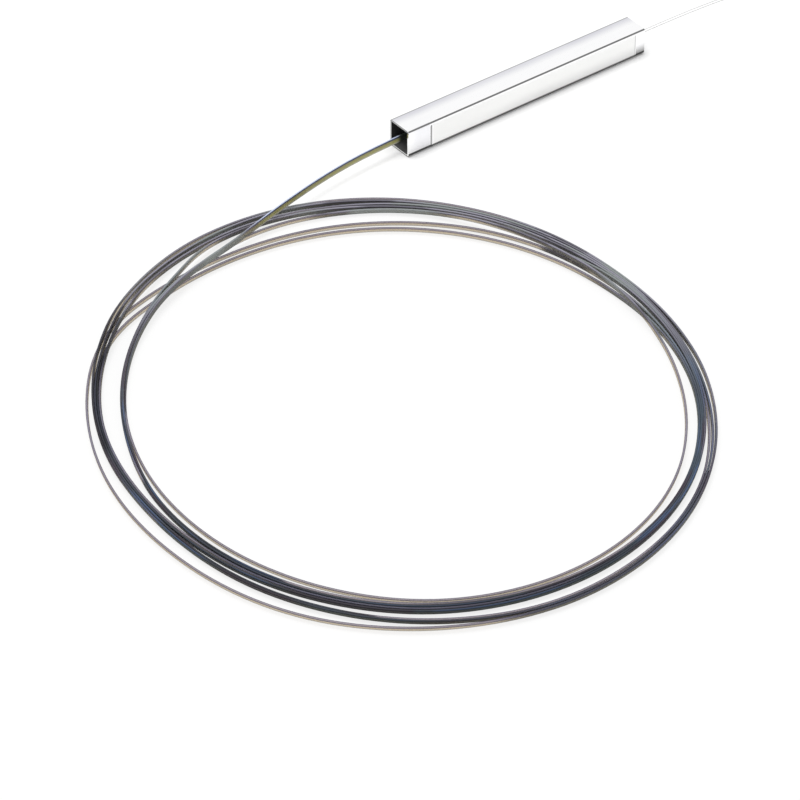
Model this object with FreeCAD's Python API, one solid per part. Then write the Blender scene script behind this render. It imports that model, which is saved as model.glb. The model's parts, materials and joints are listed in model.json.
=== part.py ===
"""Bare-fibre 1x4 planar splitter in a square steel tube, in millimetres.

+X runs along the tube towards its input end, +Z is up, and the origin is the middle of the
tube's underside. The splitter chip and its two fibre arrays lie inside on the tube's axis.
One clear fibre goes in at +X, and a flat ribbon of four fibres comes out at -X and lies coiled.
"""
import FreeCAD, Part
import math
import os
from FreeCAD import Vector

# Steel tube, drawn square with a small radius on each edge
TUBE_LENGTH = 40.0
TUBE_SIDE = 4.0
TUBE_WALL = 0.30
TUBE_EDGE_RADIUS = 0.45
BORE_EDGE_RADIUS = 0.15
TUBE_DEBURR = 0.06

# Blank marking film on the side that faces -Y
LABEL_THICKNESS = 0.05
LABEL_HEIGHT = 3.2
LABEL_OUTPUT_MARGIN = 3.6
LABEL_INPUT_MARGIN = 1.6
LABEL_CORNER_RADIUS = 0.25

# Fibres
GLASS_DIAMETER = 0.125
FIBRE_COUNT = 4
FIBRE_PITCH = 0.25
RIBBON_WIDTH = 1.0
RIBBON_THICKNESS = 0.28
INPUT_FIBRE_DIAMETER = 0.40

# Splitter chip: glass die, with a lid block over each polished end
CHIP_LENGTH = 10.0
CHIP_WIDTH = 2.4
DIE_THICKNESS = 1.0
LID_THICKNESS = 0.9
CHIP_LID_LENGTH = 2.2
POLISH_ANGLE = 8.0
CORE_SIZE = 0.02
FIRST_SPLIT_RUN = 1.6
FIRST_BEND_RUN = 3.4
SECOND_BEND_RUN = 2.6

# V-groove arrays
INPUT_GROOVE_LENGTH = 3.2
INPUT_SHELF_LENGTH = 1.8
OUTPUT_GROOVE_LENGTH = 3.8
OUTPUT_SHELF_LENGTH = 2.2
ARRAY_LID_SETBACK = 0.3
GROOVE_HALF_ANGLE = 30.0
GROOVE_CLEARANCE = 0.002
BOND_GAP = 0.02
STRIP_LENGTH = 0.5
SHELF_GLUE_WIDTH = 1.8
SHELF_GLUE_HEIGHT = 0.75
SHELF_GLUE_BULGE = 0.14

# Potting and cushions
OUTPUT_RECESS = 2.5
OUTPUT_SEAL_LENGTH = 3.0
INPUT_RECESS = 0.4
INPUT_SEAL_LENGTH = 2.6
SEAL_DISH_RADIUS = 8.0
CUSHION_LENGTH = 3.6
CUSHION_WIDTH = 2.0
CUSHION_EDGE_RADIUS = 0.25

# Share of a cord's shorter run that its arc takes up on each side of a corner
ARC_REACH = 0.45

# Ribbon from the tube's mouth to its coil: the route's points after the seal
RIBBON_ROUTE = [
    (-25.0, -0.2, 2.05),
    (-32.5, -1.0, 1.95),
    (-40.0, -2.5, 1.80),
    (-46.5, -4.1, 1.62),
    (-52.0, -5.3, 1.55),
]
RIBBON_COIL_CENTRE = (-51.4, -40.8)
RIBBON_COIL_OUTER = (40.4, 36.8)
RIBBON_COIL_OUTER_ANGLE = 65.5
RIBBON_COIL_INNER = (34.7, 32.1)
RIBBON_COIL_INNER_ANGLE = 79.0
RIBBON_COIL_HEIGHT = 2.2
RIBBON_COIL_BEVEL = 0.7

# Input fibre from the tube to its put-away coil
FIBRE_ROUTE = [
    (26.5, -0.05, 2.05),
    (33.5, -0.30, 2.00),
    (40.5, -0.35, 1.55),
    (47.0, 0.15, 0.95),
]
FIBRE_COIL_CENTRE = (48.0, 11.5)
FIBRE_COIL_RADIUS = 11.5
FIBRE_COIL_WIDTH = 2.2
FIBRE_COIL_HEIGHT = 1.8
FIBRE_COIL_BEVEL = 0.5

AXIS_HEIGHT = TUBE_SIDE / 2
BORE = TUBE_SIDE - 2 * TUBE_WALL
MOUTH_X = -TUBE_LENGTH / 2
INPUT_END_X = TUBE_LENGTH / 2
OUTPUT_SEAL_FACE_X = MOUTH_X + OUTPUT_RECESS
INPUT_SEAL_FACE_X = INPUT_END_X - INPUT_RECESS

# Along the tube's axis, from the output array's back to the input array's back
ARRAY_SPAN = (
    OUTPUT_SHELF_LENGTH
    + OUTPUT_GROOVE_LENGTH
    + CHIP_LENGTH
    + INPUT_GROOVE_LENGTH
    + INPUT_SHELF_LENGTH
    + 2 * BOND_GAP
)
OUTPUT_ARRAY_BACK_X = -ARRAY_SPAN / 2
OUTPUT_SHELF_END_X = OUTPUT_ARRAY_BACK_X + OUTPUT_SHELF_LENGTH
OUTPUT_FACE_X = OUTPUT_SHELF_END_X + OUTPUT_GROOVE_LENGTH
CHIP_OUTPUT_X = OUTPUT_FACE_X + BOND_GAP
CHIP_INPUT_X = CHIP_OUTPUT_X + CHIP_LENGTH
INPUT_FACE_X = CHIP_INPUT_X + BOND_GAP
INPUT_SHELF_END_X = INPUT_FACE_X + INPUT_GROOVE_LENGTH
INPUT_ARRAY_BACK_X = INPUT_SHELF_END_X + INPUT_SHELF_LENGTH

FIBRE_RADIUS = GLASS_DIAMETER / 2
DIE_UNDERSIDE = CORE_SIZE / 2 - DIE_THICKNESS
POLISH_SLOPE = math.tan(math.radians(POLISH_ANGLE))
FIBRE_OFFSETS = [(i - (FIBRE_COUNT - 1) / 2) * FIBRE_PITCH for i in range(FIBRE_COUNT)]


def rounded_rectangle(width, height, radius, x=0.0):
    """Face in the YZ plane at x, centred on the X axis."""
    box = Part.makeBox(1.0, width, height, Vector(0, -width / 2, -height / 2))
    long_edges = [e for e in box.Edges if abs(e.tangentAt(e.FirstParameter).x) > 0.5]
    rounded = box.makeFillet(radius, long_edges)
    face = min(rounded.Faces, key=lambda f: f.CenterOfMass.x)
    return face.translated(Vector(x, 0, 0))


def side_profile(points, width):
    """Prism of an outline in the XZ plane, of the given width across Y."""
    wire = Part.makePolygon([Vector(x, -width / 2, z) for x, z in points], True)
    return Part.Face(wire).extrude(Vector(0, width, 0))


def polished(x, z):
    """Point on a polished face that crosses the axis at x, at the height z."""
    return (x + z * POLISH_SLOPE, z)


def turned_on_edge(shape):
    """The optical parts are drawn lying flat and stand on edge in the tube."""
    placed = shape.copy()
    placed.rotate(Vector(0, 0, 0), Vector(1, 0, 0), 90)
    placed.translate(Vector(0, 0, AXIS_HEIGHT))
    return placed


def on_axis(shape):
    return shape.translated(Vector(0, 0, AXIS_HEIGHT))


# ---- Casing ----


def steel_tube():
    outside = rounded_rectangle(TUBE_SIDE, TUBE_SIDE, TUBE_EDGE_RADIUS, MOUTH_X)
    tube = outside.extrude(Vector(TUBE_LENGTH, 0, 0))
    end_edges = [
        e for f in tube.Faces if abs(f.normalAt(0, 0).x) > 0.99 for e in f.Edges
    ]
    tube = tube.makeChamfer(TUBE_DEBURR, end_edges)
    bore = rounded_rectangle(BORE, BORE, BORE_EDGE_RADIUS, MOUTH_X)
    return on_axis(tube.cut(bore.extrude(Vector(TUBE_LENGTH, 0, 0))))


def side_label():
    length = TUBE_LENGTH - LABEL_OUTPUT_MARGIN - LABEL_INPUT_MARGIN
    film = Part.makeBox(
        length,
        LABEL_THICKNESS,
        LABEL_HEIGHT,
        Vector(
            MOUTH_X + LABEL_OUTPUT_MARGIN,
            -TUBE_SIDE / 2 - LABEL_THICKNESS,
            -LABEL_HEIGHT / 2,
        ),
    )
    corners = [e for e in film.Edges if abs(e.tangentAt(e.FirstParameter).y) > 0.5]
    return on_axis(film.makeFillet(LABEL_CORNER_RADIUS, corners))


def end_seal(face_x, inwards, length, cord):
    """Potting that fills the bore round a cord, with a dished outer face."""
    plug = rounded_rectangle(BORE, BORE, BORE_EDGE_RADIUS, face_x)
    plug = plug.extrude(Vector(inwards * length, 0, 0))
    sag = SEAL_DISH_RADIUS - math.sqrt(SEAL_DISH_RADIUS**2 - (BORE / 2) ** 2)
    dish = Part.makeSphere(
        SEAL_DISH_RADIUS, Vector(face_x - inwards * (SEAL_DISH_RADIUS - sag), 0, 0)
    )
    return on_axis(plug.cut(dish)).cut(cord)


# ---- Splitter chip ----


def chip_die():
    top = CORE_SIZE / 2
    return side_profile(
        [
            polished(CHIP_OUTPUT_X, DIE_UNDERSIDE),
            polished(CHIP_INPUT_X, DIE_UNDERSIDE),
            polished(CHIP_INPUT_X, top),
            polished(CHIP_OUTPUT_X, top),
        ],
        CHIP_WIDTH,
    )


def straight_core(x0, x1, y):
    return Part.makeBox(
        abs(x1 - x0),
        CORE_SIZE,
        CORE_SIZE,
        Vector(min(x0, x1), y - CORE_SIZE / 2, -CORE_SIZE / 2),
    )


def bent_core(x0, x1, y0, y1):
    """S-bend of two equal tangent arcs, from (x0, y0) to (x1, y1)."""
    run, rise = x1 - x0, y1 - y0
    radius = (run**2 + rise**2) / (4 * abs(rise))
    turn = math.asin(abs(run) / 2 / radius)
    along, up = math.copysign(1, run), math.copysign(1, rise)

    def half(x_end, y_end, sign):
        """One arc, level at its outer end, as an arched strip."""
        centre = Vector(x_end, y_end + sign * up * radius, -CORE_SIZE / 2)

        def at(r, angle):
            return centre + Vector(
                sign * along * r * math.sin(angle), -sign * up * r * math.cos(angle), 0
            )

        near, far = radius - CORE_SIZE / 2, radius + CORE_SIZE / 2
        wire = Part.Wire(
            [
                Part.Arc(at(near, 0), at(near, turn / 2), at(near, turn)).toShape(),
                Part.LineSegment(at(near, turn), at(far, turn)).toShape(),
                Part.Arc(at(far, turn), at(far, turn / 2), at(far, 0)).toShape(),
                Part.LineSegment(at(far, 0), at(near, 0)).toShape(),
            ]
        )
        return Part.Face(wire).extrude(Vector(0, 0, CORE_SIZE))

    return half(x0, y0, 1).fuse(half(x1, y1, -1))


def waveguide_circuit(die):
    """One core in, split twice into four cores at the array's pitch."""
    split_x = CHIP_INPUT_X - CHIP_LID_LENGTH - FIRST_SPLIT_RUN
    branch_x = split_x - FIRST_BEND_RUN
    fan_x = branch_x - SECOND_BEND_RUN
    cores = [straight_core(CHIP_INPUT_X + CORE_SIZE, split_x, 0)]
    for side in (-1, 1):
        middle = side * FIBRE_PITCH
        cores.append(bent_core(split_x, branch_x, 0, middle))
        for nudge in (-1, 1):
            port = middle + nudge * FIBRE_PITCH / 2
            cores.append(bent_core(branch_x, fan_x, middle, port))
            cores.append(straight_core(fan_x, CHIP_OUTPUT_X - CORE_SIZE, port))
    circuit = cores[0].multiFuse(cores[1:]).removeSplitter()
    return circuit.common(die)


def chip_lid(face_x, inwards):
    base, top = CORE_SIZE / 2, CORE_SIZE / 2 + LID_THICKNESS
    back = face_x + inwards * CHIP_LID_LENGTH
    return side_profile(
        [polished(face_x, base), polished(face_x, top), (back, top), (back, base)],
        CHIP_WIDTH,
    )


# ---- Fibre arrays ----


def array_base(face_x, shelf_x, back_x, coating, offsets):
    """Glass block with V-grooves to its polished face and a shelf at the back."""
    shelf_top = -coating / 2
    block = side_profile(
        [
            polished(face_x, DIE_UNDERSIDE),
            polished(face_x, FIBRE_RADIUS),
            (shelf_x, FIBRE_RADIUS),
            (shelf_x, shelf_top),
            (back_x, shelf_top),
            (back_x, DIE_UNDERSIDE),
        ],
        CHIP_WIDTH,
    )
    half_angle = math.radians(GROOVE_HALF_ANGLE)
    apex = -(FIBRE_RADIUS + GROOVE_CLEARANCE) / math.sin(half_angle)
    half_width = (FIBRE_RADIUS - apex) * math.tan(half_angle)
    start = face_x + math.copysign(DIE_THICKNESS, face_x - shelf_x)
    for y in offsets:
        outline = [
            Vector(start, y, apex),
            Vector(start, y + half_width, FIBRE_RADIUS),
            Vector(start, y - half_width, FIBRE_RADIUS),
        ]
        groove = Part.Face(Part.makePolygon(outline, True))
        block = block.cut(groove.extrude(Vector(shelf_x - start, 0, 0)))
    return block


def array_lid(face_x, shelf_x):
    back = shelf_x - math.copysign(ARRAY_LID_SETBACK, shelf_x - face_x)
    top = FIBRE_RADIUS + LID_THICKNESS
    return side_profile(
        [
            polished(face_x, FIBRE_RADIUS),
            polished(face_x, top),
            (back, top),
            (back, FIBRE_RADIUS),
        ],
        CHIP_WIDTH,
    )


def stripped_fibres(face_x, strip_x, offsets):
    """Bare glass fibres from the polished face to where their coating ends."""
    outward = math.copysign(1, face_x - strip_x)
    bench = side_profile(
        [
            polished(face_x, -FIBRE_RADIUS),
            polished(face_x, FIBRE_RADIUS),
            (strip_x, FIBRE_RADIUS),
            (strip_x, -FIBRE_RADIUS),
        ],
        CHIP_WIDTH,
    )
    fibres = [
        Part.makeCylinder(
            FIBRE_RADIUS,
            abs(face_x - strip_x) + FIBRE_RADIUS,
            Vector(strip_x, y, 0),
            Vector(outward, 0, 0),
        ).common(bench)
        for y in offsets
    ]
    return Part.makeCompound(fibres)


def shelf_glue(shelf_x, back_x, lid_back_x, coating, cords):
    """Arched bead that ties the coated fibre to the shelf, up to the lid."""
    middle = (lid_back_x + back_x) / 2
    foot, crest = -coating / 2, SHELF_GLUE_HEIGHT
    wire = Part.Wire(
        [
            Part.makePolygon(
                [
                    Vector(lid_back_x, 0, crest),
                    Vector(lid_back_x, 0, FIBRE_RADIUS),
                    Vector(shelf_x, 0, FIBRE_RADIUS),
                    Vector(shelf_x, 0, foot),
                    Vector(back_x, 0, foot),
                    Vector(back_x, 0, coating),
                ]
            ),
            Part.Arc(
                Vector(back_x, 0, coating),
                Vector(middle, 0, (crest + coating) / 2 + SHELF_GLUE_BULGE),
                Vector(lid_back_x, 0, crest),
            ).toShape(),
        ]
    )
    bead = Part.Face(wire).extrude(Vector(0, SHELF_GLUE_WIDTH, 0))
    bead.translate(Vector(0, -SHELF_GLUE_WIDTH / 2, 0))
    for cord in cords:
        bead = bead.cut(cord)
    return bead


def cushion(centre_x):
    """Soft silicone pad between a glass block and the tube's wall."""
    thickness = BORE / 2 + DIE_UNDERSIDE
    pad = Part.makeBox(
        CUSHION_LENGTH,
        CUSHION_WIDTH,
        thickness,
        Vector(centre_x - CUSHION_LENGTH / 2, -CUSHION_WIDTH / 2, -BORE / 2),
    )
    upright = [e for e in pad.Edges if abs(e.tangentAt(e.FirstParameter).z) > 0.5]
    return pad.makeFillet(CUSHION_EDGE_RADIUS, upright)


# ---- Cords ----


def ribbon_section(x):
    """Plain flat section, lying along Y in the YZ plane."""
    y, z = RIBBON_WIDTH / 2, RIBBON_THICKNESS / 2
    corners = [(-y, -z), (y, -z), (y, z), (-y, z)]
    return Part.Face(Part.makePolygon([Vector(x, *corner) for corner in corners], True))


def cord(name, section, points):
    """Section carried along straight runs and tangent arcs, as large as the runs allow."""
    points = [Vector(*p) for p in points]
    area, length, radii, pieces = section.Area, 0.0, [], []
    start = points[0]
    for before, corner, after in zip(points, points[1:], points[2:]):
        back, on = before - corner, after - corner
        reach = ARC_REACH * min(back.Length, on.Length)
        back.normalize()
        on.normalize()
        turn = math.pi - back.getAngle(on)
        radius = reach / math.tan(turn / 2)
        inwards = back + on
        inwards.normalize()
        centre = corner + inwards * (radius / math.cos(turn / 2))
        axis = on.cross(back)
        run = corner + back * reach - start
        pieces.append(section.extrude(run))
        section = section.translated(run)
        pieces.append(section.revolve(centre, axis, math.degrees(turn)))
        section = section.copy()
        section.rotate(centre, axis, math.degrees(turn))
        length += run.Length + radius * turn
        radii.append(round(radius, 1))
        start = corner + on * reach
    pieces.append(section.extrude(points[-1] - start))
    length += (points[-1] - start).Length
    solid = pieces[0].multiFuse(pieces[1:]).removeSplitter()
    share = solid.Volume / (area * length)
    print(f"{name}: {length:.2f} mm, radii {radii}, volume {share:.3f} of section x length")
    return solid


def oval(centre, half_length, half_width, angle):
    """Four tangent arcs that meet at 45 degrees to the axes, as one wire."""
    lean = math.sqrt(0.5)
    spread = (half_length - half_width) / (2 * lean - 1)
    end_radius = half_length - spread * lean
    side_radius = half_width + spread * lean
    arcs = []
    for quarter in range(4):
        radius = end_radius if quarter % 2 == 0 else side_radius
        offset = spread * lean * (1 if quarter % 2 == 0 else -1)
        middle = math.radians(90 * quarter)
        hub = Vector(math.cos(middle), math.sin(middle), 0) * offset
        ends = [
            hub + Vector(math.cos(t), math.sin(t), 0) * radius
            for t in (middle - math.pi / 4, middle, middle + math.pi / 4)
        ]
        arcs.append(Part.Arc(*ends).toShape())
    wire = Part.Wire(arcs)
    wire.rotate(Vector(0, 0, 0), Vector(0, 0, 1), angle)
    wire.translate(Vector(*centre, 0))
    return wire


def oval_ring(centre, outer, outer_angle, inner, inner_angle, height, bevel):
    """Flat closed ring between two ovals, with bevelled edges."""
    up = Vector(0, 0, height)
    outside = Part.Face(oval(centre, *outer, outer_angle)).extrude(up)
    inside = Part.Face(oval(centre, *inner, inner_angle)).extrude(up)
    ring = outside.cut(inside)
    rims = [e for e in ring.Edges if e.BoundBox.ZLength < bevel]
    return ring.makeChamfer(bevel, rims)


def round_ring(centre, radius, width, height, bevel):
    """Closed ring of a bevelled rectangle turned about the coil's centre."""
    near, far = radius - width / 2, radius + width / 2
    section = [
        (near + bevel, 0),
        (far - bevel, 0),
        (far, bevel),
        (far, height - bevel),
        (far - bevel, height),
        (near + bevel, height),
        (near, height - bevel),
        (near, bevel),
    ]
    wire = Part.makePolygon([Vector(r, 0, z) for r, z in section], True)
    ring = Part.Face(wire).revolve(Vector(0, 0, 0), Vector(0, 0, 1), 360)
    return ring.translated(Vector(*centre, 0))


def build():
    input_offsets = [0.0]
    input_lid_back = INPUT_SHELF_END_X - ARRAY_LID_SETBACK
    output_lid_back = OUTPUT_SHELF_END_X + ARRAY_LID_SETBACK
    input_strip_x = INPUT_SHELF_END_X + STRIP_LENGTH
    output_strip_x = OUTPUT_SHELF_END_X - STRIP_LENGTH

    ribbon_tail = ribbon_section(output_strip_x).extrude(
        Vector(OUTPUT_SEAL_FACE_X - output_strip_x, 0, 0)
    )
    fibre_tail = Part.makeCylinder(
        INPUT_FIBRE_DIAMETER / 2,
        INPUT_SEAL_FACE_X - input_strip_x,
        Vector(input_strip_x, 0, 0),
        Vector(1, 0, 0),
    )
    input_glass = stripped_fibres(INPUT_FACE_X, input_strip_x, input_offsets)
    output_glass = stripped_fibres(OUTPUT_FACE_X, output_strip_x, FIBRE_OFFSETS)
    die = chip_die()
    circuit = waveguide_circuit(die)

    flat = {
        "waveguide_circuit": circuit,
        "splitter_chip": die.cut(circuit),
        "chip_input_lid": chip_lid(CHIP_INPUT_X, -1),
        "chip_output_lid": chip_lid(CHIP_OUTPUT_X, 1),
        "input_array_base": array_base(
            INPUT_FACE_X,
            INPUT_SHELF_END_X,
            INPUT_ARRAY_BACK_X,
            INPUT_FIBRE_DIAMETER,
            input_offsets,
        ),
        "input_array_lid": array_lid(INPUT_FACE_X, INPUT_SHELF_END_X),
        "output_array_base": array_base(
            OUTPUT_FACE_X,
            OUTPUT_SHELF_END_X,
            OUTPUT_ARRAY_BACK_X,
            RIBBON_THICKNESS,
            FIBRE_OFFSETS,
        ),
        "output_array_lid": array_lid(OUTPUT_FACE_X, OUTPUT_SHELF_END_X),
        "input_glass_fibre": input_glass,
        "output_glass_fibres": output_glass,
        "input_shelf_glue": shelf_glue(
            INPUT_SHELF_END_X,
            INPUT_ARRAY_BACK_X,
            input_lid_back,
            INPUT_FIBRE_DIAMETER,
            [fibre_tail, input_glass],
        ),
        "output_shelf_glue": shelf_glue(
            OUTPUT_SHELF_END_X,
            OUTPUT_ARRAY_BACK_X,
            output_lid_back,
            RIBBON_THICKNESS,
            [ribbon_tail, output_glass],
        ),
        "input_cushion": cushion((INPUT_FACE_X + INPUT_ARRAY_BACK_X) / 2),
        "output_cushion": cushion((OUTPUT_FACE_X + OUTPUT_ARRAY_BACK_X) / 2),
        "input_fibre_tail": fibre_tail,
        "output_ribbon_tail": ribbon_tail,
    }
    nodes = {name: turned_on_edge(shape) for name, shape in flat.items()}

    nodes["steel_tube"] = steel_tube()
    nodes["side_label"] = side_label()
    nodes["output_end_seal"] = end_seal(
        OUTPUT_SEAL_FACE_X, 1, OUTPUT_SEAL_LENGTH, nodes["output_ribbon_tail"]
    )
    nodes["input_end_seal"] = end_seal(
        INPUT_SEAL_FACE_X, -1, INPUT_SEAL_LENGTH, nodes["input_fibre_tail"]
    )

    nodes["output_ribbon_coil"] = oval_ring(
        RIBBON_COIL_CENTRE,
        RIBBON_COIL_OUTER,
        RIBBON_COIL_OUTER_ANGLE,
        RIBBON_COIL_INNER,
        RIBBON_COIL_INNER_ANGLE,
        RIBBON_COIL_HEIGHT,
        RIBBON_COIL_BEVEL,
    )
    ribbon_lead = cord(
        "output_ribbon_lead",
        turned_on_edge(ribbon_section(OUTPUT_SEAL_FACE_X)),
        [(OUTPUT_SEAL_FACE_X, 0.0, AXIS_HEIGHT)] + RIBBON_ROUTE,
    )
    nodes["output_ribbon_lead"] = ribbon_lead.cut(nodes["output_ribbon_coil"])

    nodes["input_fibre_coil"] = round_ring(
        FIBRE_COIL_CENTRE,
        FIBRE_COIL_RADIUS,
        FIBRE_COIL_WIDTH,
        FIBRE_COIL_HEIGHT,
        FIBRE_COIL_BEVEL,
    )
    fibre_start = (INPUT_SEAL_FACE_X, 0.0, AXIS_HEIGHT)
    fibre_circle = Part.makeCircle(
        INPUT_FIBRE_DIAMETER / 2, Vector(*fibre_start), Vector(1, 0, 0)
    )
    fibre_lead = cord(
        "input_fibre_lead",
        Part.Face(Part.Wire([fibre_circle])),
        [fibre_start] + FIBRE_ROUTE,
    )
    nodes["input_fibre_lead"] = fibre_lead.cut(nodes["input_fibre_coil"])
    return nodes


os.makedirs("parts", exist_ok=True)
for node, shape in build().items():
    shape.exportStep(f"parts/{node}.step")
    print(f"{node}: {len(shape.Solids)} solids, {shape.Volume:.4f} mm3, valid {shape.isValid()}")
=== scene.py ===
"""Looks of a bare-fibre planar splitter: steel tube, blank film, loose ribbon ring, input fibre."""
import json
import math
from collections import namedtuple

import bpy
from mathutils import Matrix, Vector
from mathutils.kdtree import KDTree


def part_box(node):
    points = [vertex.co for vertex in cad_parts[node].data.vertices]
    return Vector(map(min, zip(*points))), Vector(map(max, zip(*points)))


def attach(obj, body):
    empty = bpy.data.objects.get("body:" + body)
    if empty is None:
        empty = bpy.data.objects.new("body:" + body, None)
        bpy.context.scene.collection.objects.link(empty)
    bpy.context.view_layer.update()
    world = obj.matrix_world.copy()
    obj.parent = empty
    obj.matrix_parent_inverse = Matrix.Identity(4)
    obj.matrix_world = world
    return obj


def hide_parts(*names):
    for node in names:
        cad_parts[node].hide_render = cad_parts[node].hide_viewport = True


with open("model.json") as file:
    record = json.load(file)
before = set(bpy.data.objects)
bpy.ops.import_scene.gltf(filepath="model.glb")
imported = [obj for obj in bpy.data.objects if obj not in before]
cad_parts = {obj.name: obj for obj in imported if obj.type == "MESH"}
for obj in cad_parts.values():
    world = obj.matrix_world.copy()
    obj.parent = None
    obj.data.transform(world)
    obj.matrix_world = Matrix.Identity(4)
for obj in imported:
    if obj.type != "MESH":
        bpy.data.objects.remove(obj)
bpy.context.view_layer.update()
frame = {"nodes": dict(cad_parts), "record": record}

MM = 0.001

# ---- Ribbon and fibre sizes, in millimetres unless a line says otherwise ----
FIBRE_COUNT = 4
RIBBON_WIDTH = 1.0
RIBBON_HALF_THICKNESS = 0.14
FIBRE_DIAMETER = 0.40

# Across one fibre of the ribbon, from edge to edge: where its outline is cut, in half pitches
FIBRE_CUTS = (1.0, 0.8, 0.4, 0.0, -0.4, -0.8)
VALLEY_SHARE = 0.24  # how deep the ribbon dips between two fibres, of its half thickness
EDGE_ROUNDING = 0.96
FOOT_SHARE = 0.2

# The ribbon stands on edge at the tube and leans toward the ring's near side further on
LEAN_DEGREES = 30.0
LEAN_STARTS = 30.0
LEAN_RUN = 60.0

# Level direction across the ring, from its near side to the side by the tube
FAR_WAY = Vector((0.61, 0.79, 0.0))

# When another turn counts as lying behind a stretch, which then takes painted shade
CROWD_SEARCH = 1.4
CROWD_SKIPS = 12  # places along the line that belong to the stretch itself
CROWD_REACH = 0.80
CROWD_FAR_REACH = 0.35  # more on the far side, in full from FAR_SIDE_RUN behind the middle
FAR_SIDE_RUN = 20.0
CROWD_SPAN = 0.30
CROWD_RISE = 1.5  # how much more a height counts than a level distance
CROWD_SLACK = 0.15
NO_TURN_NEAR = 9.0

# ---- Studio sizes, in metres ----
CAMERA_TARGET = Vector((-0.0511, -0.04055, 0.0))
CAMERA_DISTANCE = 0.400
CAMERA_ELEVATION = 39.0
CAMERA_HEADING = 52.4
CAMERA_LENS = 153.2
CAMERA_CLIP = (0.01, 20.0)
WORLD_LEVEL = 0.80
LAMP_WATTS = 3.2
LAMP_SIZE = 0.45
LAMP_PLACE = Vector((-0.12, 0.10, 0.80))
LAMP_AIM = Vector((-0.03, -0.02, 0.0))
FLOOR_REACH = 3.0
RING_FLOOR_GLOW = 0.78
TUBE_FLOOR_GLOW = 0.10


def link(thing):
    bpy.context.scene.collection.objects.link(thing)
    return thing


# ---- Camera ----


def place_camera():
    away = math.radians(CAMERA_HEADING)
    rise = math.radians(CAMERA_ELEVATION)
    level = math.cos(rise)
    look = Vector((level * math.cos(away), level * math.sin(away), -math.sin(rise)))
    data = bpy.data.cameras.new("camera")
    data.lens = CAMERA_LENS
    data.sensor_width = 36.0
    data.clip_start, data.clip_end = CAMERA_CLIP
    camera = link(bpy.data.objects.new("camera", data))
    camera.location = CAMERA_TARGET - look * CAMERA_DISTANCE
    camera.rotation_euler = look.to_track_quat("-Z", "Y").to_euler()
    bpy.context.scene.camera = camera


place_camera()

# ---- Routes ----
# The ribbon leaves the tube on edge and comes down to the ring
RIBBON_LEAD = [
    (-17.5, 0.0, 2.0),
    (-25.0, -0.2, 2.05),
    (-32.5, -1.0, 1.95),
    (-40.0, -2.6, 1.88),
    (-45.4, -4.0, 1.80),
]
RING_CENTRE = Vector((-51.42, -40.80, 0.0))
RING_HEADING = -37.6
RING_STEP = 8.0
REST_HEIGHT = 0.50
CURVE_STEPS = 4

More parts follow.
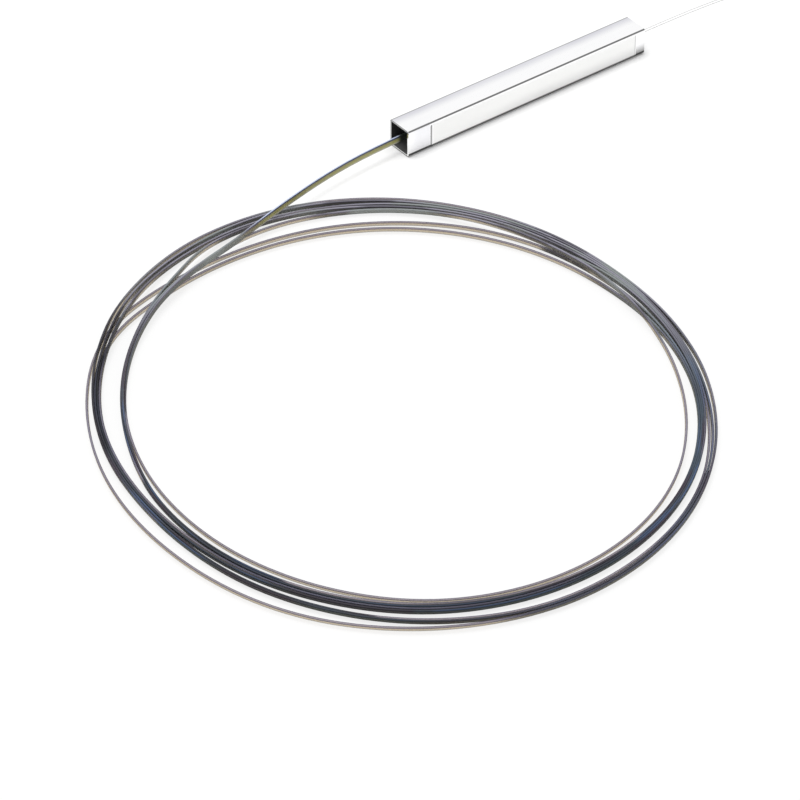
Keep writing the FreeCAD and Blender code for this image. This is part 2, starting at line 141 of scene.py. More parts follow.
# Each turn of the ring: angle from its right-hand side, radius and, where it is lifted, height
RING_TURNS = [
    [
        (125, 35.6, 1.65), (130, 35.0, 1.62), (137, 34.45, 1.60), (142, 34.2, 1.58), (147, 34.0, 1.45),
        (153, 33.65, 1.20), (159, 33.3, 0.90), (168, 32.75, 0.58), (180, 32.15), (200, 31.8),
        (220, 32.1), (240, 33.05), (260, 34.35), (275, 35.35), (290, 35.75), (305, 35.75),
        (320, 35.35), (335, 34.65), (350, 33.8), (365, 33.25), (378, 33.2, 0.60), (385, 33.15, 1.05),
        (392, 33.15, 1.45), (400, 33.4, 1.50), (410, 33.85, 1.50), (420, 34.5, 1.45),
        (428, 35.4, 1.20), (436, 36.4, 0.90), (445, 37.25, 0.65),
    ],
    [
        (90, 37.6, 0.55), (100, 37.85), (110, 37.8), (117, 37.4, 0.60), (125, 36.3, 1.00),
        (130, 35.3, 1.35), (135, 34.85, 1.50), (140, 34.6, 1.50), (145, 34.35, 1.50),
        (150, 34.1, 1.45), (155, 33.75, 1.35), (160, 33.4, 1.25), (170, 32.85, 1.10),
        (180, 32.35, 1.00), (190, 32.15, 0.85), (200, 32.2, 0.65), (210, 32.6), (220, 33.0),
        (240, 34.0), (260, 35.15), (275, 35.9), (290, 36.35), (305, 36.5), (320, 36.3),
        (335, 35.9), (350, 35.25), (360, 34.9), (370, 34.45), (380, 34.0), (390, 33.6),
        (400, 33.25), (415, 33.25), (435, 33.45),
    ],
    [
        (90, 33.7), (110, 33.9), (125, 34.1), (135, 34.4), (145, 34.85), (150, 35.2), (155, 35.75),
        (160, 36.2), (164, 36.25), (168, 36.1), (174, 35.75), (180, 35.35), (190, 34.9),
        (200, 34.5), (210, 34.25), (220, 34.25), (230, 34.6), (245, 35.4), (260, 36.25),
        (275, 37.1), (290, 37.45), (305, 37.4), (320, 37.05), (335, 36.55), (350, 35.95),
        (360, 35.6), (370, 35.25), (380, 35.1), (390, 35.2), (400, 35.35), (410, 35.7),
        (420, 36.2), (430, 37.05), (440, 37.75),
    ],
    [
        (90, 38.25), (100, 38.65), (110, 38.95), (118, 38.85), (124, 38.55, 0.60), (130, 37.75, 0.95),
        (135, 36.45, 1.35), (140, 35.45, 1.50), (145, 34.85, 1.50), (150, 34.4, 1.35),
        (155, 34.0, 1.05), (160, 33.65, 0.80), (168, 33.15, 0.55), (180, 32.55), (190, 32.35),
        (200, 32.45), (210, 32.9), (220, 33.25), (240, 34.3), (260, 35.5), (275, 36.3),
        (290, 36.7), (305, 36.8), (320, 36.55), (335, 36.1), (350, 35.5), (360, 35.15),
        (370, 34.7), (380, 34.35), (390, 34.2), (400, 34.15), (410, 34.35), (420, 34.65),
        (435, 34.9),
    ],
    [
        (90, 34.95), (110, 35.05), (120, 35.1), (130, 35.3), (140, 35.75), (147, 36.3), (153, 36.85),
        (158, 37.1), (164, 37.15), (170, 37.0), (180, 36.6), (190, 36.4), (200, 36.4),
        (210, 36.55), (220, 36.85), (230, 37.35), (240, 38.1), (255, 39.1), (270, 39.6),
        (285, 39.85), (300, 39.85), (320, 39.1), (340, 37.9), (350, 37.3), (360, 36.75),
        (370, 36.4), (380, 36.1), (390, 36.05), (400, 36.15), (410, 36.7), (420, 37.5),
        (430, 38.3), (440, 39.15),
    ],
    [
        (90, 39.9), (100, 40.4), (110, 40.65), (120, 40.55), (130, 40.2), (140, 39.45), (149, 38.65),
        (155, 37.9, 0.90), (160, 37.2, 1.40), (165, 36.9, 1.40), (170, 36.6, 1.00),
        (176, 36.15, 0.60), (182, 35.8), (190, 35.4), (200, 35.05), (210, 34.8), (220, 34.95),
        (230, 35.45), (240, 36.2), (255, 37.3), (270, 38.4), (280, 38.95), (290, 39.45),
        (300, 39.5), (310, 39.2), (325, 38.5), (340, 37.6), (350, 36.9), (360, 36.2),
        (370, 35.75), (380, 35.5), (390, 35.65), (400, 35.85), (410, 36.4), (420, 37.1),
        (430, 37.9), (440, 38.7),
    ],
    [
        (90, 39.45), (100, 40.0), (110, 40.35), (120, 40.1), (130, 39.5), (140, 38.85),
        (145, 38.45, 0.60), (150, 37.9, 0.90), (155, 37.1, 1.40), (160, 36.65, 1.40),
        (165, 36.5, 1.00), (171, 36.15, 0.60), (180, 35.65), (190, 35.15), (200, 34.8),
        (210, 34.55), (220, 34.6), (230, 35.2), (240, 35.95), (255, 37.05), (270, 38.15),
        (280, 38.65), (290, 39.1), (300, 39.15), (310, 38.8), (325, 38.25), (340, 37.3),
        (350, 36.45), (360, 35.85), (370, 35.5), (380, 35.3), (390, 35.4), (400, 35.6),
        (410, 36.05), (420, 36.65), (430, 37.5), (440, 38.25),
    ],
    [
        (90, 38.85), (100, 39.1), (110, 39.3), (120, 39.25), (130, 38.75), (138, 38.3, 0.55),
        (144, 37.7, 0.80), (150, 36.85, 1.40), (155, 36.5, 1.45), (160, 36.15, 1.40),
        (165, 35.9, 1.00), (171, 35.6, 0.60), (180, 35.1), (190, 34.65), (200, 34.2),
        (210, 33.95), (220, 33.95), (230, 34.2), (245, 35.0), (260, 35.85), (275, 36.7),
        (290, 37.05), (305, 37.1), (320, 36.8), (335, 36.35), (350, 35.7), (360, 35.35),
        (370, 35.05), (380, 34.85), (390, 34.9), (400, 35.1), (410, 35.15), (417, 35.05),
    ],
]


def ring_stations():
    """The turns as one list of (angle, radius, height), the angle growing all the way."""
    stations = []
    for turn, places in enumerate(RING_TURNS):
        for place in places:
            height = place[2] if len(place) > 2 else REST_HEIGHT
            stations.append((place[0] + 360.0 * turn, place[1], height))
    return stations


def flowing(stations, angle, column):
    """Value at an angle on a smooth line through the stations."""
    i = 0
    while i < len(stations) - 2 and stations[i + 1][0] < angle:
        i += 1

    def slope(k):
        low, high = stations[max(k - 1, 0)], stations[min(k + 1, len(stations) - 1)]
        return (high[column] - low[column]) / (high[0] - low[0])

    a, b = stations[i], stations[i + 1]
    span = b[0] - a[0]
    t = (angle - a[0]) / span
    return (
        (1 + 2 * t) * (1 - t) ** 2 * a[column]
        + t * (1 - t) ** 2 * span * slope(i)
        + t * t * (3 - 2 * t) * b[column]
        + t * t * (t - 1) * span * slope(i + 1)
    )


def round_a_centre(centre, turned, radius, height):
    return centre + Vector((math.cos(turned), math.sin(turned), 0)) * radius + Vector((0, 0, height))


def ribbon_route():
    """Control points of the ribbon's line: the lead, then the ring's turns."""
    stations = ring_stations()
    first, last = stations[0][0], stations[-1][0]
    steps = round((last - first) / RING_STEP)
    outward = 1 / math.cos(math.radians(RING_STEP / 2))
    points = [Vector(p) for p in RIBBON_LEAD]
    for step in range(steps + 1):
        angle = first + (last - first) * step / steps
        radius = flowing(stations, angle, 1) * outward
        turned = math.radians(angle + RING_HEADING)
        points.append(round_a_centre(RING_CENTRE, turned, radius, flowing(stations, angle, 2)))
    return points


def nurbs_curve(name, points):
    """Open NURBS line through control points given in millimetres."""
    curve = bpy.data.curves.new(name, "CURVE")
    curve.dimensions = "3D"
    spline = curve.splines.new("NURBS")
    spline.points.add(len(points) - 1)
    for target, point in zip(spline.points, points):
        target.co = (*(point * MM), 1.0)
    spline.order_u = 3
    spline.use_endpoint_u = True
    curve.resolution_u = CURVE_STEPS
    return curve


def line_of(curve):
    """Points that a curve without a bevel follows."""
    holder = link(bpy.data.objects.new(curve.name + "_line", curve))
    bpy.context.view_layer.update()
    mesh = bpy.data.meshes.new_from_object(holder)
    points = [v.co.copy() for v in mesh.vertices]
    bpy.data.objects.remove(holder)
    bpy.data.meshes.remove(mesh)
    return points


# ---- Shader maths ----


class Value:
    """A number in a material or world, with the usual signs."""

    def __init__(self, nodes, socket):
        self.nodes = nodes
        self.socket = socket

    def _maths(self, operation, first, second):
        return self.nodes.value("Math", {"operation": operation}, {0: first, 1: second})

    def __add__(self, other):
        return self._maths("ADD", self, other)

    def __radd__(self, other):
        return self._maths("ADD", other, self)

    def __sub__(self, other):
        return self._maths("SUBTRACT", self, other)

    def __rsub__(self, other):
        return self._maths("SUBTRACT", other, self)

    def __mul__(self, other):
        return self._maths("MULTIPLY", self, other)

    def __rmul__(self, other):
        return self._maths("MULTIPLY", other, self)


class Nodes:
    """The nodes of one material or world."""

    def __init__(self, tree):
        self.tree = tree
        self.tree.nodes.clear()

    def add(self, kind, settings=None, inputs=None):
        """A node of that type, its settings made first, then its values and links."""
        node = self.tree.nodes.new("ShaderNode" + kind)
        for name, setting in (settings or {}).items():
            if name == "stops":
                self._set_stops(node.color_ramp, setting)
            else:
                setattr(node, name, setting)
        for key, given in (inputs or {}).items():
            if isinstance(given, Value):
                given = given.socket
            if isinstance(given, bpy.types.NodeSocket):
                self.tree.links.new(given, node.inputs[key])
            else:
                node.inputs[key].default_value = given
        return node

    @staticmethod
    def _set_stops(ramp, stops):
        while len(ramp.elements) < len(stops):
            ramp.elements.new(0.5)
        for element, (place, shade) in zip(ramp.elements, stops):
            element.position = place
            element.color = shade

    def value(self, kind, settings=None, inputs=None, output=0):
        return Value(self, self.add(kind, settings, inputs).outputs[output])

    def greater(self, a, b):
        return self.value("Math", {"operation": "MAXIMUM"}, {0: a, 1: b})

    def seen_directly(self):
        """1 for what is looked at, mirrored or seen through something clear, otherwise 0."""
        path = self.add("LightPath")
        rays = ("Is Camera Ray", "Is Glossy Ray", "Is Transmission Ray")
        first, second, third = (Value(self, path.outputs[ray]) for ray in rays)
        return self.greater(self.greater(first, second), third)


class Finish(Nodes):
    """One procedural material."""

    def __init__(self, name):
        self.material = bpy.data.materials.new(name)
        self.material.use_nodes = True
        super().__init__(self.material.node_tree)

    def place(self):
        """Position on the piece in metres, in the part's own frame."""
        return self.add("TexCoord").outputs["Object"]

    def axes(self):
        node = self.add("SeparateXYZ", None, {0: self.place()})
        return [Value(self, out) for out in node.outputs]

    def noise(self, scale, detail=2.0, roughness=0.5, stretch=None):
        spot = self.place()
        if stretch:
            spot = self.add("VectorMath", {"operation": "MULTIPLY"}, {0: spot, 1: stretch}).outputs[0]
        inputs = {"Vector": spot, "Scale": scale, "Detail": detail, "Roughness": roughness}
        return self.value("TexNoise", None, inputs)

    def stored(self, name):
        """A number kept on the mesh's points."""
        return self.value("Attribute", {"attribute_name": name}, None, 2)

    def size(self, number):
        """The number without its sign."""
        return self.value("Math", {"operation": "ABSOLUTE"}, {0: number})

    def step(self, number, low, high):
        """0 up to low, 1 from high on, smooth between them."""
        inputs = {"Value": number, "From Min": low, "From Max": high}
        return self.value("MapRange", {"interpolation_type": "SMOOTHSTEP"}, inputs)

    def rise(self, place, low, high):
        """A step along an axis, its ends in millimetres."""
        return self.step(place, low * MM, high * MM)

    def fall(self, place, low, high):
        """1 up to low, 0 from high on, the ends in millimetres."""
        return 1.0 - self.rise(place, low, high)

    def between(self, share, first, second):
        """Colour that goes from the first to the second."""
        node = self.add("Mix", {"data_type": "RGBA"}, {0: share, 6: first, 7: second})
        return node.outputs[2]

    def layered(self, shade, *layers):
        """The shade with each (share, colour) laid over it in turn."""
        for share, over in layers:
            shade = self.between(share, shade, over)
        return shade

    def bump(self, height, depth, strength=0.5):
        """Bump of a depth in millimetres."""
        inputs = {"Height": height, "Distance": depth * MM, "Strength": strength}
        return self.add("Bump", None, inputs).outputs[0]

    def surface(self, inputs):
        return self.add("BsdfPrincipled", None, inputs).outputs[0]

    def clear(self, tint):
        return self.add("BsdfTransparent", None, {"Color": tint}).outputs[0]

    def mixed(self, share, first, second):
        return self.add("MixShader", None, {0: share, 1: first, 2: second}).outputs[0]

    def done(self, shader):
        self.add("OutputMaterial", None, {"Surface": shader})
        return self.material


def grey(level):
    return (level, level, level, 1.0)


def colour(red, green, blue):
    return (red, green, blue, 1.0)


def toned(shade, gain):
    return tuple(channel * gain for channel in shade[:3]) + (1.0,)


# ---- Ribbon ----
# Tint seen through a fibre, its own colour where it lies alone, how far that covers, then its colour in
# painted shade in front of other turns, the same made lighter by painted light on the far side of the
# ring, and its colour at the tube
FibreLook = namedtuple("FibreLook", "tint alone cover packed distant fresh")

# The four fibres from the top edge down, then the crown along the top edge, a painted highlight
FIBRE_LOOKS = {
    "blue": FibreLook(
        colour(0.64, 0.61, 0.71), colour(0.055, 0.048, 0.080), 0.74,
        colour(0.036, 0.044, 0.050), colour(0.16, 0.15, 0.19), colour(0.04, 0.05, 0.12),
    ),
    "orange": FibreLook(
        colour(0.96, 0.86, 0.71), colour(0.54, 0.42, 0.26), 0.22,
        colour(0.070, 0.080, 0.066), colour(0.15, 0.135, 0.13), colour(0.30, 0.29, 0.10),
    ),
    "green": FibreLook(
        colour(0.95, 0.88, 0.73), colour(0.46, 0.40, 0.24), 0.22,
        colour(0.080, 0.095, 0.078), colour(0.13, 0.14, 0.13), colour(0.38, 0.37, 0.13),
    ),
    "brown": FibreLook(
        colour(0.84, 0.82, 0.79), colour(0.32, 0.29, 0.27), 0.40,
        colour(0.110, 0.088, 0.070), colour(0.15, 0.14, 0.14), colour(0.46, 0.45, 0.34),
    ),
    # The crown: a painted highlight along the top edge, brightest at the tube
    "highlight_crown": FibreLook(
        colour(0.74, 0.72, 0.84), colour(0.14, 0.13, 0.19), 0.62,
        colour(0.046, 0.052, 0.066), colour(0.33, 0.32, 0.38), colour(0.62, 0.70, 0.90),
    ),
}
HIGHLIGHT_CROWN = len(FIBRE_LOOKS) - 1
END_FACE = 1

# Turns of a packed band, in painted shade, differ: some are brighter, some darker
FACE_GLINT = colour(0.060, 0.085, 0.088)
CROWN_GLINT = colour(0.060, 0.095, 0.190)
FAR_GLINT = colour(0.30, 0.32, 0.31)
PLUM_SHADE = colour(0.045, 0.030, 0.042)
FAR_SHADE_SHARE = 0.55
TEAL_GAIN = (1.0, 1.25, 1.35)
TEAL_LIFT = 0.005
TONES_PER_TURN = 2.7


def painted_shade_colour(finish, name, side_shade, far_side_light):
    """Painted shade of a stretch that lies in front of other turns, darker still on the near and left
    sides and lighter on the far side of the ring.
    """
    look = FIBRE_LOOKS[name]
    teal = colour(*(c * gain + TEAL_LIFT for c, gain in zip(look.packed, TEAL_GAIN)))
    cloud = finish.noise(110.0, 2.0)
    tone = finish.value(
        "TexNoise",
        {"noise_dimensions": "1D"},
        {"W": finish.stored("strand") * TONES_PER_TURN, "Detail": 1.0},
    )
    bright = finish.step(tone, 0.50, 0.62)
    low = 1.0 - finish.step(tone, 0.36, 0.44)
    glint = CROWN_GLINT if name == "highlight_crown" else FACE_GLINT
    # Painted light: the painted shade is lighter on the far side of the ring
    away = finish.layered(
        look.distant, (low, toned(look.distant, FAR_SHADE_SHARE)), (bright, FAR_GLINT)
    )
    return finish.layered(
        look.packed,
        (finish.step(cloud, 0.45, 0.65), teal),
        (bright * 0.8, glint),
        (low * 0.7, PLUM_SHADE),
        (far_side_light * 0.85, away),
        (side_shade, grey(0.006)),
    )


def ribbon_colour(name):
    look = FIBRE_LOOKS[name]
    finish = Finish("ribbon_" + name)
    x, y, z = finish.axes()
    mottle = finish.noise(900.0, 3.0)
    at_tube = finish.rise(x, -50.0, -43.0) * finish.rise(y, -9.0, -6.0) * finish.rise(z, 1.0, 1.3)
    # Painted shade: the ribbon darkens where it runs into the tube's mouth
    mouth_shade = finish.rise(x, -20.6, -19.8) * at_tube
    to_far_side = x * FAR_WAY.x + y * FAR_WAY.y
    to_right = x * FAR_WAY.y - y * FAR_WAY.x
    # Painted shade and light by side of the ring: darker still on the near side and the left, lighter
    # on the far side
    front = finish.fall(to_far_side, -97.0, -80.0)
    far_side_light = finish.rise(to_far_side, -66.0, -38.0)
    left = finish.fall(to_right, -49.8, -48.2)
    side_shade = finish.greater(front * 0.45, left * 0.85)
    # Painted shade: a stretch in front of other turns, or lifted onto them, takes the shaded surface,
    # except at the tube
    lifted = finish.rise(z, 1.0, 1.25) * 0.85
    shade_share = finish.greater(finish.stored("crowding"), lifted) * (1.0 - at_tube)

    own = finish.layered(
        look.alone,
        (at_tube, look.fresh),
        (mottle * 0.25, toned(look.alone, 0.6)),
        (mouth_shade, colour(0.018, 0.022, 0.016)),
    )
    skin = finish.surface(
        {"Base Color": own, "Roughness": 0.25 + mottle * 0.12, "Specular IOR Level": 0.4}
    )
    single = finish.mixed(
        look.cover + at_tube * (0.9 - look.cover), finish.clear(look.tint), skin
    )
    # The surface in painted shade
    packed = finish.surface(
        {
            "Base Color": painted_shade_colour(finish, name, side_shade, far_side_light),
            "Roughness": 0.35 + mottle * 0.15,
            "Specular IOR Level": 0.15,
        }
    )
    return finish.done(finish.mixed(shade_share * 0.95, single, packed))


def ribbon_section():
    """Outline of the ribbon, top edge first: (across, out, fibre), in millimetres."""
    half = RIBBON_WIDTH / 2
    pitch = RIBBON_WIDTH / FIBRE_COUNT
    bottom = FIBRE_COUNT - 1
    side = []
    for fibre in range(FIBRE_COUNT):
        middle = half - pitch * (fibre + 0.5)
        for u in FIBRE_CUTS:
            outer = (fibre == 0 and u > 0) or (fibre == bottom and u < 0)
            rounded = math.sqrt(1 - EDGE_ROUNDING * u * u)
            share = rounded if outer else 1 - VALLEY_SHARE * u * u
            side.append((middle + u * pitch / 2, RIBBON_HALF_THICKNESS * share, fibre))
    side.append((-half, RIBBON_HALF_THICKNESS * FOOT_SHARE, bottom))
    return side + [(a, -o, f) for a, o, f in reversed(side)]


def leaning(line):
    """How the ribbon stands at each place: upright in the tube, then leaning over."""
    frames = []
    run = 0.0
    for i, point in enumerate(line):
        ahead = line[min(i + 1, len(line) - 1)] - line[max(i - 1, 0)]
        ahead.normalize()
        if i:
            run += (point - line[i - 1]).length
        t = min(max((run / MM - LEAN_STARTS) / LEAN_RUN, 0.0), 1.0)
        lean = math.radians(LEAN_DEGREES) * t * t * (3 - 2 * t)
        up = Vector((0, 0, math.cos(lean))) - FAR_WAY * math.sin(lean)
        up = (up - ahead * up.dot(ahead)).normalized()
        frames.append((up, ahead.cross(up)))
    return frames


def crowding(line):
    """Share of painted shade: from 0 where nothing lies behind a stretch to 1 where another turn is
    close behind.
    """
    spread = [Vector((point.x, point.y, CROWD_RISE * point.z)) for point in line]
    tree = KDTree(len(spread))
    for i, point in enumerate(spread):
        tree.insert(point, i)
    tree.balance()
    shares = []
    for i, point in enumerate(spread):
        near = [
            distance
            for other, j, distance in tree.find_range(point, CROWD_SEARCH * MM)
            if abs(i - j) > CROWD_SKIPS
            and (other - point).xy.dot(FAR_WAY.xy) > -CROWD_SLACK * MM
        ]
        gap = min(near) / MM if near else NO_TURN_NEAR
        behind = (point / MM - RING_CENTRE).xy.dot(FAR_WAY.xy) / FAR_SIDE_RUN
        reach = CROWD_REACH + CROWD_FAR_REACH * min(max(behind, 0.0), 1.0)
        shares.append(min(max((reach - gap) / CROWD_SPAN, 0.0), 1.0))
    return shares


def turns_run(line):
    """How many times round the ring the ribbon has gone at each place."""
    low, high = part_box("output_ribbon_coil")
    middle = (low + high) / 2
    rounds, turned, last = [], 0.0, None
    for point in line:
        bearing = math.atan2(point.y - middle.y, point.x - middle.x)
        if last is not None:
            turned += (bearing - last + math.pi) % math.tau - math.pi
        last = bearing
        rounds.append(abs(turned) / math.tau)
    return rounds


def store(mesh, name, numbers):
    layer = mesh.attributes.new(name, "FLOAT", "POINT")
    layer.data.foreach_set("value", numbers)


def ribbon_mesh(line):
    """The ribbon's outline swept along its line, each face in the colour of its fibre, the faces along
    the top edge in the crown's painted highlight.
    """
    section = ribbon_section()
    count = len(section)
    vertices, shade_share, strands = [], [], []
    for point, (up, out), share, strand in zip(line, leaning(line), crowding(line), turns_run(line)):
        vertices += [point + up * (across * MM) + out * (off * MM) for across, off, _ in section]
        shade_share += [share] * count
        strands += [strand] * count

    slots = []
    for k in range(count):
        mine, other = section[k][2], section[(k + 1) % count][2]
        beside = min(mine, other) if k < count / 2 else other
        # The faces along the top edge take the crown's painted highlight
        slots.append(HIGHLIGHT_CROWN if k in (0, count - 2, count - 1) else beside)
    faces = []
    for start in range(0, (len(line) - 1) * count, count):
        for k in range(count):
            m = (k + 1) % count
            faces.append((start + k, start + m, start + count + m, start + count + k))
    last = (len(line) - 1) * count
    faces += [tuple(range(count)), tuple(last + k for k in reversed(range(count)))]

    mesh = bpy.data.meshes.new("output_ribbon")
    mesh.from_pydata(vertices, [], faces)
    mesh.validate()
    for name in FIBRE_LOOKS:
        mesh.materials.append(ribbon_colour(name))
    mesh.polygons.foreach_set("material_index", slots * (len(line) - 1) + [END_FACE] * 2)
    mesh.polygons.foreach_set("use_smooth", [True] * len(faces))
    store(mesh, "crowding", shade_share)
    store(mesh, "strand", strands)
    return mesh


def show(name, data):
    piece = link(bpy.data.objects.new(name, data))
    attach(piece, "root")
    return piece


line = line_of(nurbs_curve("ribbon_route", ribbon_route()))
ribbon = show("output_ribbon", ribbon_mesh(line))
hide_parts("output_ribbon_lead", "output_ribbon_coil")

# ---- Input fibre ----
FIBRE_LEAD = [
    (19.6, 0.0, 2.0),
    (26.5, -0.05, 2.05),
    (33.5, -0.30, 2.00),
    (38.5, -0.45, 1.70),
    (42.5, -0.60, 1.20),
    (45.6, -0.80, 0.70),
]
COIL_CENTRE = Vector((48.0, 11.5, 0.0))
COIL_RADIUS = 11.5
COIL_PITCH = 0.42
COIL_COLUMNS = 5
COIL_LAYERS = 4
COIL_STEPS = 16
COIL_START = 0.04 - math.pi / 2


def coil_slots():
    """Places of the turns in the coil's section: to and fro, layer on layer."""
    slots = []
    for layer in range(COIL_LAYERS):
        row = [(c - (COIL_COLUMNS - 1) / 2) * COIL_PITCH for c in range(COIL_COLUMNS)]
        if layer % 2 == 0:
            row.reverse()
        slots += [(offset, (layer + 0.5) * COIL_PITCH) for offset in row]
    return slots


def fibre_route():
    """Control points of the input fibre's line: the lead, then the coil's turns."""
    points = [Vector(p) for p in FIBRE_LEAD]
    slots = coil_slots()
    outward = 1 / math.cos(math.pi / COIL_STEPS)
    turns = len(slots)
    for step in range((turns - 1) * COIL_STEPS + 3 * COIL_STEPS // 4):
        turn, part = divmod(step, COIL_STEPS)
        here, then = slots[turn], slots[min(turn + 1, turns - 1)]
        t = part / COIL_STEPS
        t = t * t * (3 - 2 * t)
        offset, height = (a + (b - a) * t for a, b in zip(here, then))
        turned = math.tau * step / COIL_STEPS + COIL_START
        points.append(round_a_centre(COIL_CENTRE, turned, (COIL_RADIUS + offset) * outward, height))
    return points


def clear_fibre():
    finish = Finish("clear_fibre_coating")
    rim = finish.value("LayerWeight", None, {"Blend": 0.5}, 1)
    mottle = finish.noise(1500.0)
    shade = finish.between(mottle, grey(0.42), grey(0.52))
    skin = finish.surface({"Base Color": shade, "Roughness": 0.12 + mottle * 0.1})
    return finish.done(finish.mixed(finish.step(rim, 0.25, 0.50), finish.clear(grey(0.98)), skin))


curve = nurbs_curve("input_fibre", fibre_route())
curve.bevel_depth = FIBRE_DIAMETER / 2 * MM
curve.bevel_resolution = 3
curve.use_fill_caps = True
curve.materials.append(clear_fibre())
fibre = show("input_fibre", curve)
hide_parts("input_fibre_lead", "input_fibre_coil")

# ---- Tube and what is in it ----
LABEL_ENDS = tuple(corner[0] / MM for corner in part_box("side_label"))
TUBE_MIDDLE = 2.0
STEEL_BRIGHT = grey(0.99)
STEEL_COOL = colour(0.90, 0.90, 0.92)
# Painted reflection: a lavender grey on the top face towards its far edge and by the mouth end
STEEL_PAINTED_REFLECTION = colour(0.62, 0.62, 0.68)


def drawn_steel():
    """Bright drawn tube with painted shade along its front ridge, its back edge, its foot, round its
    mouth and in its bore, darker towards the foot at both ends, and a painted reflection on its top
    face and by its mouth.
    """
    finish = Finish("drawn_steel")
    x, y, z = finish.axes()
    side, height = finish.size(y), finish.size(z - TUBE_MIDDLE * MM)
    # Painted shade inside the bore
    inside = finish.fall(finish.greater(side, height), 1.703, 1.72)
    front = finish.fall(y, -0.2, 0.2)
    flank = finish.fall(y, -1.75, -1.60)
    upper = finish.rise(z, 1.8, 2.2)
    grain = finish.noise(1.0, 3.0, 0.6, (150.0, 9000.0, 9000.0))
    cloud = finish.noise(160.0, 2.0)

    # Painted reflection: the top face greys towards its far edge
    sheen = finish.rise(y, -0.2, 1.9) * (0.55 + cloud * 0.6)
    # Painted shade: on the front side at both ends the steel darkens towards the foot
    end = finish.rise(x, 17.6, 18.2) * flank
    start = finish.fall(x, -16.6, -16.4) * flank
    # Painted reflection on the front side by the mouth end
    near_end_reflection = start * finish.rise(x, -19.9, -18.2)
    # Painted shade lines along the front ridge and the back top edge, and painted shade along the foot
    ridge = finish.rise(side + height, 3.706, 3.724) * front * upper
    back = finish.rise(y, 1.50, 1.60) * upper
    foot_shade = finish.fall(z, 0.56, 0.62)
    shade = finish.layered(
        finish.between(grain * 0.4 + cloud * 0.3, STEEL_BRIGHT, STEEL_COOL),
        (sheen * upper, STEEL_PAINTED_REFLECTION),
        (end * finish.fall(z, 0.3, 2.2), grey(0.30)),
        (near_end_reflection * 0.30, STEEL_PAINTED_REFLECTION),
        (start * finish.fall(z, 0.3, 2.6) * 0.35, grey(0.45)),
        (ridge, grey(0.13)),
        (back, grey(0.36)),
        (foot_shade, grey(0.02)),
    )

    # The cut end round the mouth: painted shade along its top with a painted highlight line in it, and
    # painted shade as an outline along its far side and foot
    rim = finish.fall(x, -19.995, -19.97)
    outline = finish.greater(finish.rise(y, 1.84, 1.86), finish.fall(z, 0.17, 0.19))
    lintel = finish.rise(z, 3.70, 3.72)
    gleam = finish.rise(z, 3.78, 3.80) * finish.fall(z, 3.88, 3.90)
    end_shade = finish.layered(
        finish.between(lintel, grey(0.98), grey(0.10)), (gleam, grey(0.50)), (outline, grey(0.02))
    )
    shade = finish.layered(shade, (rim, end_shade), (inside, grey(0.11)))
    painted_dark_lines = finish.greater(finish.greater(foot_shade, rim * outline), ridge)
    return finish.done(
        finish.surface(
            {
                "Base Color": shade,
                "Metallic": 1.0 - painted_dark_lines * 0.85,
                "Roughness": 0.12 + grain * 0.10 + inside * 0.4,
                "Normal": finish.bump(grain, 0.004, 0.4),
            }
        )
    )


def film():
    """Blank white film in painted shade towards the bottom and along its foot, with a dark line at its
    first end, a grey line near its last end and a painted highlight near each end.
    """
    finish = Finish("blank_film")
    x, y, z = finish.axes()
    cloud = finish.noise(220.0, 3.0)
    fleck = finish.noise(5000.0, 2.0)
    paper = finish.between(
        cloud * 0.6 + fleck * 0.2, colour(0.96, 0.96, 0.95), colour(0.88, 0.88, 0.87)
    )
    # Painted shade: the film darkens towards the bottom, more towards its last end
    low = finish.fall(z, 0.4, 2.4) * finish.rise(x, -14.0, 4.0)
    first, last = LABEL_ENDS
    first_end_line = finish.fall(x, first + 0.14, first + 0.20)
    # Painted highlights near each end
    shine = finish.fall(x, first + 0.38, first + 0.44)
    tip = finish.rise(x, last - 0.26, last - 0.20)
    edge = tip * finish.fall(x, last - 0.12, last - 0.08)
    # Painted shade along the film's foot
    film_foot_shade = finish.fall(z, 0.54, 0.62)
    shade = finish.layered(
        paper,
        (low * 0.60, grey(0.62)),
        (finish.greater(shine, tip), grey(1.0)),
        (first_end_line, grey(0.30)),
        (edge, grey(0.55)),
        (film_foot_shade * 0.92, grey(0.03)),
    )
    return finish.done(
        finish.surface(
            {
                "Base Color": shade,
                "Metallic": 0.35,
                "Roughness": 0.32 + fleck * 0.12,
                "Coat Weight": 0.3,
                "Normal": finish.bump(fleck, 0.002, 0.3),
            }
        )
    )


def clouded(name, fine, light, dark, rough, bump, more=None):
    """A cast or moulded stuff: noise of (scale, detail), (roughness, its spread), (depth, strength)."""
    finish = Finish(name)
    cloud = finish.noise(*fine)
    inputs = {
        "Base Color": finish.between(cloud, light, dark),
        "Roughness": rough[0] + cloud * rough[1],
        "Normal": finish.bump(cloud, *bump),
    }
    return finish.done(finish.surface({**inputs, **(more or {})}))


def glass(name, light, side_shade):
    finish = Finish(name)
    cloud = finish.noise(900.0, 3.0)
    shade = finish.between(cloud, light, side_shade)
    body = finish.surface({"Base Color": shade, "Roughness": 0.03 + cloud * 0.08, "IOR": 1.46})
    return finish.done(finish.mixed(0.35 + cloud * 0.2, finish.clear(light), body))


def plain_ribbon():
    """The tail inside the potting, where its fibres are stacked from the top down."""
    finish = Finish("ribbon_tail")
    x, y, z = finish.axes()
    stops = [
        (0.0, colour(0.10, 0.07, 0.05)),
        (0.3, colour(0.12, 0.16, 0.06)),
        (0.6, colour(0.40, 0.22, 0.06)),
        (0.9, colour(0.03, 0.06, 0.22)),
    ]
    ramp = finish.add("ValToRGB", {"stops": stops}, {0: finish.rise(z, 1.5, 2.5)})
    cloud = finish.noise(2000.0, 2.0)
    return finish.done(
        finish.surface({"Base Color": ramp.outputs[0], "Roughness": 0.25 + cloud * 0.15})
    )


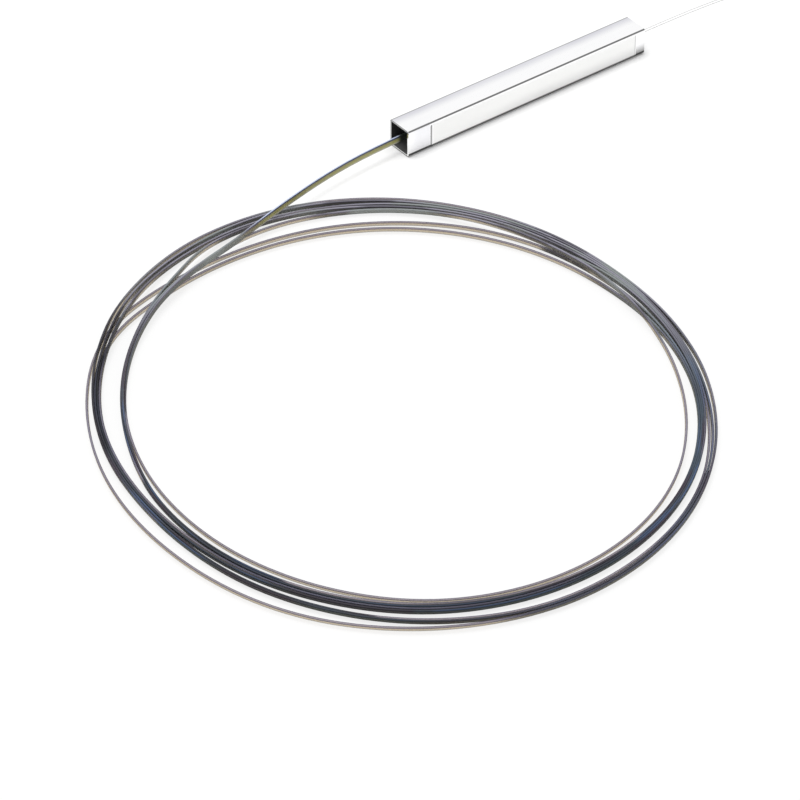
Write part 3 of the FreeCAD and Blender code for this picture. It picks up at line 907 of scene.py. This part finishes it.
FINISHES = {
    "polished_steel": drawn_steel(),
    "label_film": film(),
    "dark_potting": clouded(
        "dark_potting", (1800.0, 4.0), grey(0.09), colour(0.15, 0.15, 0.155),
        (0.25, 0.3), (0.04, 0.6),
    ),
    "clear_silicone": clouded(
        "milky_silicone", (1200.0, 3.0), colour(0.82, 0.83, 0.83), colour(0.70, 0.72, 0.73),
        (0.3, 0.25), (0.03, 0.4), {"Subsurface Weight": 0.1, "Subsurface Scale": 0.3 * MM},
    ),
    "chip_glass": glass("quartz_die", colour(0.80, 0.84, 0.86), colour(0.62, 0.68, 0.74)),
    "core_glass": glass("silica_core", colour(0.90, 0.93, 0.95), colour(0.70, 0.80, 0.92)),
    "lid_glass": glass("lid_block", colour(0.84, 0.88, 0.88), colour(0.66, 0.74, 0.74)),
    "array_glass": glass("array_block", colour(0.82, 0.86, 0.84), colour(0.64, 0.72, 0.68)),
    "amber_epoxy": clouded(
        "amber_epoxy", (2500.0, 4.0), colour(0.72, 0.50, 0.22), colour(0.52, 0.31, 0.10),
        (0.15, 0.2), (0.02, 0.5), {"Coat Weight": 0.5},
    ),
    "clear_fibre": bpy.data.materials["clear_fibre_coating"],
    "ribbon": plain_ribbon(),
}


def dress_cad_nodes():
    for part in frame["record"]["subparts"]:
        mesh = frame["nodes"][part["node"]].data
        mesh.materials.clear()
        mesh.materials.append(FINISHES[part["material_slot"]])


dress_cad_nodes()

# ---- Floor and lights ----


def floor_finish():
    finish = Finish("studio_floor")
    x, y, _ = finish.axes()
    near_tube = finish.rise(x * FAR_WAY.x + y * FAR_WAY.y, -26.0, -16.0)
    glow_share = RING_FLOOR_GLOW - near_tube * (RING_FLOOR_GLOW - TUBE_FLOOR_GLOW)
    paper = finish.add("BsdfDiffuse", None, {"Color": grey(0.92)}).outputs[0]
    glow = finish.add("Emission", None, {"Color": grey(1.0), "Strength": 1.0}).outputs[0]
    return finish.done(finish.mixed(finish.seen_directly() * glow_share, paper, glow))


def lay_floor():
    mesh = bpy.data.meshes.new("floor")
    corners = [(-1, -1), (1, -1), (1, 1), (-1, 1)]
    mesh.from_pydata([(FLOOR_REACH * x, FLOOR_REACH * y, 0) for x, y in corners], [], [(0, 1, 2, 3)])
    mesh.materials.append(floor_finish())
    link(bpy.data.objects.new("floor", mesh))


def light_world():
    world = bpy.data.worlds.new("studio")
    world.use_nodes = True
    nodes = Nodes(world.node_tree)
    strength = WORLD_LEVEL + nodes.seen_directly() * (1.0 - WORLD_LEVEL)
    back = nodes.add("Background", None, {"Color": grey(1.0), "Strength": strength})
    nodes.add("OutputWorld", None, {"Surface": back.outputs[0]})
    bpy.context.scene.world = world


def hang_lamp():
    data = bpy.data.lights.new("overhead", "AREA")
    data.shape = "DISK"
    data.size = LAMP_SIZE
    data.energy = LAMP_WATTS
    lamp = link(bpy.data.objects.new("overhead", data))
    lamp.location = LAMP_PLACE
    lamp.rotation_euler = (LAMP_AIM - LAMP_PLACE).to_track_quat("-Z", "Y").to_euler()


lay_floor()
light_world()
hang_lamp()
bpy.context.scene.view_settings.view_transform = "Standard"
